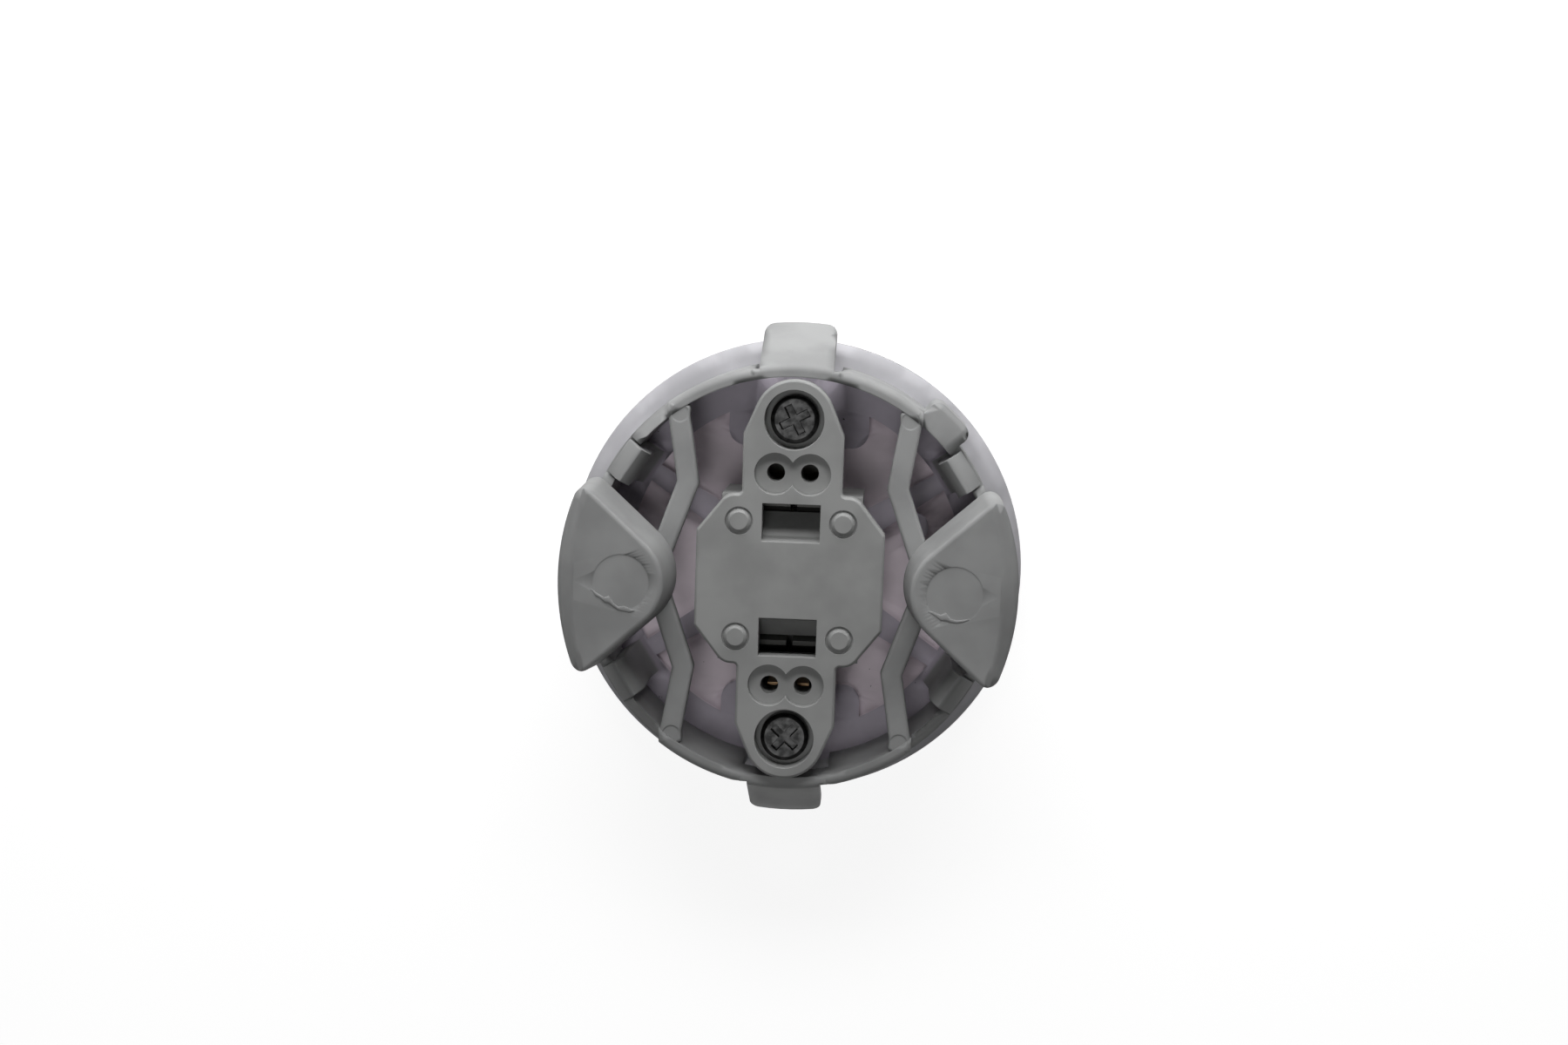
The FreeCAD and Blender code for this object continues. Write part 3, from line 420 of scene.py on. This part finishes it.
@dataclass
class Palette:
    """One material for each slot of the record."""

    def __post_init__(self) -> None:
        """Build the materials."""
        self.materials = {
            Slot.FRONT: FrontPlastic(colour=grey(186, (0.99, 0.98, 1.03))).build(),
            Slot.RING: LatchPlastic("latch_plastic", grey(150, (0.99, 1.0, 1.0))).build(),
            Slot.PLATE: MouldedPlastic(
                "terminal_plastic", grey(150, (0.99, 1.0, 0.99)), edge_round=0.1 * MM
            ).build(),
            Slot.BRONZE: StripMetal("bronze_strip", (0.62, 0.42, 0.24)).build(),
            Slot.SPRING: StripMetal("spring_strip", (0.12, 0.12, 0.115), roughness=0.5).build(),
            Slot.SCREW: ScrewSteel().build(),
        }

    def dress(self, nodes: dict[str, bpy.types.Object]) -> None:
        """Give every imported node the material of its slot.

        Args:
            nodes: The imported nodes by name.
        """
        for node in nodes.values():
            for place in node.material_slots:
                place.material = self.materials[Slot(place.material.name)]


class Piece:
    """One visible piece while it is shaped with Blender's own operators."""

    def __init__(self, thing: bpy.types.Object) -> None:
        """Take hold of an object."""
        self.thing = thing

    @classmethod
    def added(cls, name: str, place: Vector, kind: str, **options: object) -> "Piece":
        """Add a primitive.

        Args:
            name: The piece's name.
            place: Where its centre goes.
            kind: The primitive operator's name after primitive_.
            options: The operator's own options.

        Returns:
            The piece.
        """
        bpy.ops.object.select_all(action="DESELECT")
        getattr(bpy.ops.mesh, f"primitive_{kind}_add")(location=place, **options)
        piece = cls(bpy.context.object)
        piece.thing.name = name
        return piece.applied()

    @classmethod
    def merged(cls, name: str, node: bpy.types.Object, flat_deg: float = 0.0) -> "Piece":
        """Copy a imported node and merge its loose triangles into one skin.

        Args:
            name: The piece's name.
            node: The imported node, which is left alone.
            flat_deg: Faces that meet at less than this angle become one, where it is above 0.

        Returns:
            The piece.
        """
        thing = bpy.data.objects.new(name, node.data.copy())
        bpy.context.scene.collection.objects.link(thing)
        piece = cls(thing)
        piece.edit()
        bpy.ops.mesh.select_all(action="SELECT")
        bpy.ops.mesh.remove_doubles(threshold=MERGE_DISTANCE)
        if flat_deg > 0:
            bpy.ops.mesh.dissolve_limited(angle_limit=math.radians(flat_deg))
        piece.leave()
        return piece

    def alone(self) -> None:
        """Select this piece and nothing else."""
        bpy.ops.object.select_all(action="DESELECT")
        self.thing.select_set(True)
        bpy.context.view_layer.objects.active = self.thing

    def edit(self) -> None:
        """Go into edit mode with nothing selected."""
        self.alone()
        bpy.ops.object.mode_set(mode="EDIT")
        bpy.ops.mesh.select_all(action="DESELECT")

    def leave(self) -> None:
        """Come back from edit mode."""
        bpy.ops.object.mode_set(mode="OBJECT")

    def choose(self, wanted: Callable[[Vector], bool]) -> None:
        """Select the corners that pass a test, and the edges and faces between them, in edit mode.

        Args:
            wanted: The test on a corner's place.
        """
        bpy.ops.mesh.select_mode(type="VERT")
        mesh = bmesh.from_edit_mesh(self.thing.data)
        for corner in mesh.verts:
            corner.select = wanted(corner.co)
        mesh.select_flush(True)
        bmesh.update_edit_mesh(self.thing.data)

    def applied(self) -> "Piece":
        """Put the piece's place, turn and size into its mesh."""
        self.alone()
        bpy.ops.object.transform_apply(location=True, rotation=True, scale=True)
        return self

    def modify(self, kind: str, **settings: object) -> "Piece":
        """Add a modifier and apply it.

        Args:
            kind: The modifier's type.
            settings: The modifier's own settings.

        Returns:
            The piece.
        """
        self.alone()
        modifier = self.thing.modifiers.new(kind.lower(), kind)
        for name, value in settings.items():
            setattr(modifier, name, value)
        bpy.ops.object.modifier_apply(modifier=modifier.name)
        return self

    def rounded(self, width: float, segments: int = 2, angle_deg: float = 28.0) -> "Piece":
        """Round every edge that is sharper than an angle.

        Args:
            width: How far the rounding reaches along each face.
            segments: The number of faces across it.
            angle_deg: The least angle.

        Returns:
            The piece.
        """
        return self.modify(
            "BEVEL", width=width, segments=segments, limit_method="ANGLE",
            angle_limit=math.radians(angle_deg), use_clamp_overlap=True,
        )

    def cut(self, tool: "Piece") -> "Piece":
        """Cut another piece's shape out of this one, and take that piece away."""
        self.modify("BOOLEAN", operation="DIFFERENCE", solver="EXACT", object=tool.thing)
        bpy.data.objects.remove(tool.thing)
        return self

    def smooth(self, angle_deg: float = 40.0) -> "Piece":
        """Shade the piece smoothly, except across edges sharper than an angle."""
        self.alone()
        bpy.ops.object.shade_smooth_by_angle(angle=math.radians(angle_deg))
        return self.modify("WEIGHTED_NORMAL", mode="FACE_AREA", weight=100, keep_sharp=True)

    def finish(self, material: bpy.types.Material, slot: Slot, body: str, *nodes: str) -> "Piece":
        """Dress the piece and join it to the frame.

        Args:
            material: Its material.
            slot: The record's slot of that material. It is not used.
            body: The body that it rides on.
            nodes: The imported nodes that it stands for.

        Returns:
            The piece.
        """
        self.thing.data.materials.clear()
        self.thing.data.materials.append(material)
        if body:
            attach(self.thing, body)
        if nodes:
            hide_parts(*nodes)
        log.info("%s: %d faces", self.thing.name, len(self.thing.data.polygons))
        return self


@dataclass
class Mouldings:
    """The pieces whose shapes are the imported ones. The small ones get their edges rounded as in a mould."""

    nodes: dict[str, bpy.types.Object]
    palette: Palette
    flat_deg: float = 0.6
    plate_round: float = 0.22 * MM
    block_round: float = 0.16 * MM
    screw_round: float = 0.09 * MM

    def soften(self, name: str, node: str, slot: Slot, width: float = 0.0) -> Piece:
        """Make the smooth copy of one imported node.

        Args:
            name: The piece's name.
            node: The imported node's name.
            slot: The slot of its finish.
            width: How far its edges are rounded, where it is above 0.

        Returns:
            The dressed piece.
        """
        piece = Piece.merged(name, self.nodes[node], self.flat_deg if width > 0 else 0.0)
        if width > 0:
            piece.rounded(width)
        return piece.smooth().finish(self.palette.materials[slot], slot, "holder", node)

    def build(self) -> None:
        """Make the front body, the terminal cover, the contact block and the screws."""
        self.soften("front_shell", "front_body", Slot.FRONT)
        self.soften("terminal_cover", "terminal_plate", Slot.PLATE, self.plate_round)
        self.soften("terminal_base", "contact_block", Slot.PLATE, self.block_round)
        for end in ("upper", "lower"):
            self.soften(f"{end}_cross_screw", f"{end}_screw", Slot.SCREW, self.screw_round)


@dataclass
class LatchMoulding:
    """The can wall with its tongues and lug, the two finger pads with their scars, and the spring arms."""

    nodes: dict[str, bpy.types.Object]
    palette: Palette
    rim_level: float = 25.6 * MM
    pad_top: float = 35.4 * MM
    arm_width: float = 2.7 * MM
    arm_thickness: float = 2.2 * MM
    arm_round: float = 0.45 * MM
    arm_round_segments: int = 3
    arm_round_angle_deg: float = 40.0
    arm_proud: float = 0.015 * MM
    arm_start: tuple[float, float] = (14.58 * MM, 20.98 * MM)
    arm_bend: tuple[float, float] = (13.2 * MM, 12.5 * MM)
    arm_end: tuple[float, float] = (17.0 * MM, 1.7 * MM)
    arm_steps: int = 6
    blend_start: float = 22.0 * MM
    blend_end: float = 3.5 * MM
    arm_mark_place: tuple[float, float] = (14.5 * MM, 20.5 * MM)
    arm_mark_radius: float = 1.1 * MM
    mark_depth: float = 0.1 * MM
    mark_sides: int = 64
    pad_mark_radius: float = 3.5 * MM
    pad_mark_x: dict[str, float] = field(default_factory=lambda: {"left": -20.3 * MM, "right": 20.6 * MM})
    pad_mark_depth: float = 0.07 * MM
    scar_root: float = 0.25 * MM
    scar_height: float = 0.5 * MM
    scar_round: float = 0.07 * MM
    # Each place along a scar: x, y and width in millimetres, and its share of the height.
    scars: dict[str, tuple[tuple[float, float, float, float], ...]] = field(default_factory=lambda: {
        "left": (
            (-23.9, -1.0, 0.2, 0.06), (-23.5, -1.5, 0.5, 0.16), (-22.9, -1.8, 0.35, 0.1),
            (-22.3, -2.2, 0.6, 0.2), (-21.8, -2.1, 0.9, 0.26), (-21.3, -2.7, 0.5, 0.14),
            (-20.6, -3.2, 0.4, 0.2), (-19.9, -3.2, 0.7, 0.14), (-19.2, -3.4, 0.5, 0.2),
            (-18.6, -3.4, 0.2, 0.08),
        ),
        "right": (
            (17.5, -2.1, 0.2, 0.06), (18.2, -2.4, 0.45, 0.14), (18.9, -2.8, 0.7, 0.22),
            (19.5, -2.6, 0.95, 0.26), (20.1, -3.1, 0.45, 0.12), (20.8, -3.2, 0.35, 0.16),
            (21.6, -3.1, 0.3, 0.1), (22.4, -2.9, 0.2, 0.06),
        ),
    })

    def build(self) -> None:
        """Make every piece of the moulding."""
        plastic = self.palette.materials[Slot.RING]
        ring = Piece.merged("latch_can", self.nodes["latch_ring"])
        ring.smooth().finish(plastic, Slot.RING, "holder", "latch_ring")
        for side, sign in (("left", -1), ("right", 1)):
            self.build_pad(side).finish(plastic, Slot.RING, f"{side}_pad", f"{side}_wing")
            self.build_scar(side).finish(plastic, Slot.RING, f"{side}_pad")
            for level, end in (("upper", 1), ("lower", -1)):
                arm = self.build_arm(f"{level}_{side}_spring_arm", sign, end)
                arm.finish(plastic, Slot.RING, "", f"{level}_{side}_arm")
                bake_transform(arm.thing)

    def disc(self, x: float, y: float, top: float, radius: float, depth: float) -> Piece:
        """Make the tool that leaves a round mark in a flat top."""
        place = Vector((x, y, top))
        return Piece.added(
            "mark_tool", place, "cylinder", vertices=self.mark_sides, radius=radius, depth=depth * 2
        )

    def build_pad(self, side: str) -> Piece:
        """Make a finger pad with the round mark of its ejector.

        Args:
            side: left or right.

        Returns:
            The piece, before it is dressed.
        """
        pad = Piece.merged(f"{side}_finger_pad", self.nodes[f"{side}_wing"])
        mark = self.disc(self.pad_mark_x[side], 0, self.pad_top, self.pad_mark_radius, self.pad_mark_depth)
        return pad.cut(mark).smooth()

    def build_scar(self, side: str) -> Piece:
        """Draw out the torn ridge that the moulding's gate left on a finger pad.

        Args:
            side: left or right.

        Returns:
            The piece, before it is dressed.
        """
        stations = [
            (Vector((x * MM, y * MM, self.pad_top + rise * self.scar_height)), width * MM)
            for x, y, width, rise in self.scars[side]
        ]
        first, first_width = stations[0]
        piece = Piece.added(f"{side}_gate_scar", first, "plane", size=first_width)
        piece.edit()
        piece.choose(lambda corner: corner.x > first.x)
        for (here, here_width), (there, there_width) in zip(stations, stations[1:]):
            bpy.ops.mesh.extrude_region_move(TRANSFORM_OT_translate={"value": there - here})
            spread = there_width / here_width
            bpy.ops.transform.resize(value=(1, spread, 1), center_override=there)
        bpy.ops.mesh.select_all(action="SELECT")
        bpy.ops.mesh.extrude_region_move(TRANSFORM_OT_translate={"value": (0, 0, -self.scar_root)})
        bpy.ops.mesh.select_all(action="SELECT")
        bpy.ops.mesh.normals_make_consistent(inside=False)
        piece.leave()
        return piece.rounded(self.scar_round).smooth()

    def build_arm(self, name: str, side: int, end: int) -> Piece:
        """Extrude a zigzag arm from the rim to below a finger pad.

        Args:
            name: The piece's name.
            side: 1 on the right and -1 on the left.
            end: 1 above and -1 below.

        Returns:
            The piece, before it is dressed.
        """
        stations = [Vector((x * side, y * end, 0)) for x, y in (self.arm_start, self.arm_bend, self.arm_end)]
        runs = [there - here for here, there in zip(stations, stations[1:])]
        ways = [run.normalized() for run in runs]
        along = (ways[0] + ways[1]).normalized()
        across = Vector((-along.y, along.x, 0))
        width = self.arm_width / abs(across.cross(ways[0]).z)
        top = self.rim_level + self.arm_proud
        piece = Piece.added(name, Vector((0, 0, 0)), "plane", size=1)
        thing = piece.thing
        step = runs[0].length / self.arm_steps
        thing.scale = (width, step, 1)
        thing.rotation_euler = (0, 0, math.atan2(across.y, across.x))
        thing.location = stations[0] + Vector((0, 0, top))
        piece.applied()
        piece.edit()
        piece.choose(lambda corner: (corner - stations[0]).dot(along) > 0)
        for run in runs:
            for _ in range(self.arm_steps):
                bpy.ops.mesh.extrude_region_move(TRANSFORM_OT_translate={"value": run / self.arm_steps})
        bpy.ops.mesh.select_all(action="SELECT")
        bpy.ops.mesh.extrude_region_move(TRANSFORM_OT_translate={"value": (0, 0, -self.arm_thickness)})
        bpy.ops.mesh.select_all(action="SELECT")
        bpy.ops.mesh.normals_make_consistent(inside=False)
        piece.leave()
        piece.rounded(self.arm_round, self.arm_round_segments, self.arm_round_angle_deg)
        mark_x, mark_y = self.arm_mark_place
        mark = self.disc(mark_x * side, mark_y * end, top, self.arm_mark_radius, self.mark_depth)
        return piece.cut(mark).smooth()


@dataclass
class Studio:
    """Floor, lamps, world and camera."""

    floor_half: float = 3.0
    floor_glow: float = 0.86
    floor_tone: float = 0.18
    floor_shown: Colour = grey(150)
    key_energy: float = 0.17
    key_place: Vector = Vector((0, 0.12, 0.045))
    key_size: tuple[float, float] = (0.2, 0.05)
    high_energy: float = 0.72
    high_place: Vector = Vector((0, 0.3, 0.3))
    high_size: tuple[float, float] = (0.3, 0.1)
    side_energy: float = 0.14
    side_distance: float = 0.55
    side_rise_deg: float = 7.0
    side_size: float = 0.2
    fill_energy: float = 0.36
    fill_distance: float = 0.5
    fill_size: float = 0.12
    world_level: float = 0.03
    lens: float = 52.5
    film_width: float = 36.0
    clip_near: float = 0.01
    clip_far: float = 20.0
    wired_way: Vector = Vector((-0.0494, -0.102, 1.0))
    roll_deg: float = 2.15
    right_depth: float = 0.0455
    rim_height: float = 25.6 * MM
    rim_place: Vector = Vector((0.715, -7.15, -289.0)) * MM

    def backdrop(self, name: str, strength: float, plain: float) -> Shader:
        """Write a surface that the camera and reflections see as plain white.

        Args:
            name: The material's name.
            strength: How brightly the camera sees it, where 1 is white.
            plain: The grey that it is to all other light.

        Returns:
            The material.
        """
        shader = Shader(name)
        path = shader.node("ShaderNodeLightPath", {}, {}).socket.node
        seen = [Value(shader, path.outputs[f"Is {ray} Ray"]) for ray in ("Camera", "Glossy", "Transmission")]
        shown = shader.node("ShaderNodeMath", {"operation": "MAXIMUM"}, {0: seen[0], 1: seen[1]})
        shown = shader.node("ShaderNodeMath", {"operation": "MAXIMUM"}, {0: shown, 1: seen[2]})
        glow = shader.node("ShaderNodeEmission", {}, {"Color": (1, 1, 1, 1), "Strength": strength})
        pale = shader.node("ShaderNodeBsdfDiffuse", {}, {"Color": (*self.floor_shown, 1)})
        both = shader.node("ShaderNodeAddShader", {}, {0: glow, 1: pale})
        dull = shader.node("ShaderNodeBsdfDiffuse", {}, {"Color": (plain, plain, plain, 1)})
        shader.node_output(shader.node("ShaderNodeMixShader", {}, {0: shown, 1: dull, 2: both}))
        return shader

    def build_floor(self) -> bpy.types.Object:
        """Lay the floor under the collar."""
        bpy.ops.object.select_all(action="DESELECT")
        bpy.ops.mesh.primitive_plane_add(size=self.floor_half * 2)
        floor = bpy.context.object
        floor.name = "floor"
        floor.data.materials.append(self.backdrop("floor", self.floor_glow, self.floor_tone).material)
        return floor

    def build_world(self) -> None:
        """Light the scene dimly from all round, with a white that only the camera and reflections see."""
        world = bpy.data.worlds.new("studio")
        bpy.context.scene.world = world
        world.use_nodes = True
        tree = world.node_tree
        tree.nodes.clear()
        path = tree.nodes.new("ShaderNodeLightPath")
        output = tree.nodes.new("ShaderNodeOutputWorld")
        mixed = tree.nodes.new("ShaderNodeMixShader")
        levels = []
        for level in (self.world_level, 1.0):
            plain = tree.nodes.new("ShaderNodeBackground")
            plain.inputs["Strength"].default_value = level
            plain.inputs["Color"].default_value = (1, 1, 1, 1)
            levels.append(plain)
        tree.links.new(path.outputs["Is Camera Ray"], mixed.inputs[0])
        tree.links.new(levels[0].outputs[0], mixed.inputs[1])
        tree.links.new(levels[1].outputs[0], mixed.inputs[2])
        tree.links.new(mixed.outputs[0], output.inputs["Surface"])

    def add_lamp(self, name: str, place: Vector, size: tuple[float, float], energy: float) -> None:
        """Hang a soft lamp that faces the part.

        Args:
            name: The lamp's name.
            place: Where it hangs.
            size: Its width and height.
            energy: Its power in watts.
        """
        data = bpy.data.lights.new(name, "AREA")
        data.shape = "RECTANGLE"
        data.size = size[0]
        data.size_y = size[1]
        data.energy = energy
        lamp = bpy.data.objects.new(name, data)
        bpy.context.scene.collection.objects.link(lamp)
        lamp.location = place
        lamp.rotation_euler = (-place).to_track_quat("-Z", "Y").to_euler()

    def build_lamps(self) -> None:
        """Hang a low and a high key lamp beyond the top of the picture, one each side, and a fill above."""
        self.add_lamp("key", self.key_place, self.key_size, self.key_energy)
        self.add_lamp("high_key", self.high_place, self.high_size, self.high_energy)
        rise = math.radians(self.side_rise_deg)
        for name, sign in (("left_bounce", -1), ("right_bounce", 1)):
            place = Vector((sign * math.cos(rise), 0, math.sin(rise))) * self.side_distance
            self.add_lamp(name, place, (self.side_size, self.side_size), self.side_energy)
        fill = self.wired_way.normalized() * self.fill_distance
        self.add_lamp("fill", fill, (self.fill_size, self.fill_size), self.fill_energy)

    def build_camera(self) -> bpy.types.Object:
        """Set the camera where the photograph was taken from."""
        up = self.wired_way.normalized()
        roll = math.radians(self.roll_deg)
        across = Vector((math.cos(roll), -math.sin(roll), self.right_depth))
        across = (across - up * across.dot(up)).normalized()
        turn = Matrix((across, up.cross(across), up))
        data = bpy.data.cameras.new("camera")
        data.lens = self.lens
        data.sensor_width = self.film_width
        data.clip_start = self.clip_near
        data.clip_end = self.clip_far
        camera = bpy.data.objects.new("camera", data)
        bpy.context.scene.collection.objects.link(camera)
        camera.matrix_world = turn.to_4x4()
        camera.location = Vector((0, 0, self.rim_height)) - turn @ self.rim_place
        bpy.context.scene.camera = camera
        return camera

    def build(self) -> None:
        """Set up everything that isn't the part."""
        bpy.context.scene.view_settings.view_transform = "Standard"
        self.build_floor()
        self.build_world()
        self.build_lamps()
        self.build_camera()


def main() -> None:
    """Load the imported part, dress it and light it."""
    logging.basicConfig(level=logging.INFO, format="%(name)s: %(message)s")
    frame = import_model()
    palette = Palette()
    palette.dress(frame["nodes"])
    Studio().build()
    Mouldings(frame["nodes"], palette).build()
    LatchMoulding(frame["nodes"], palette).build()


if __name__ == "__main__":
    main()
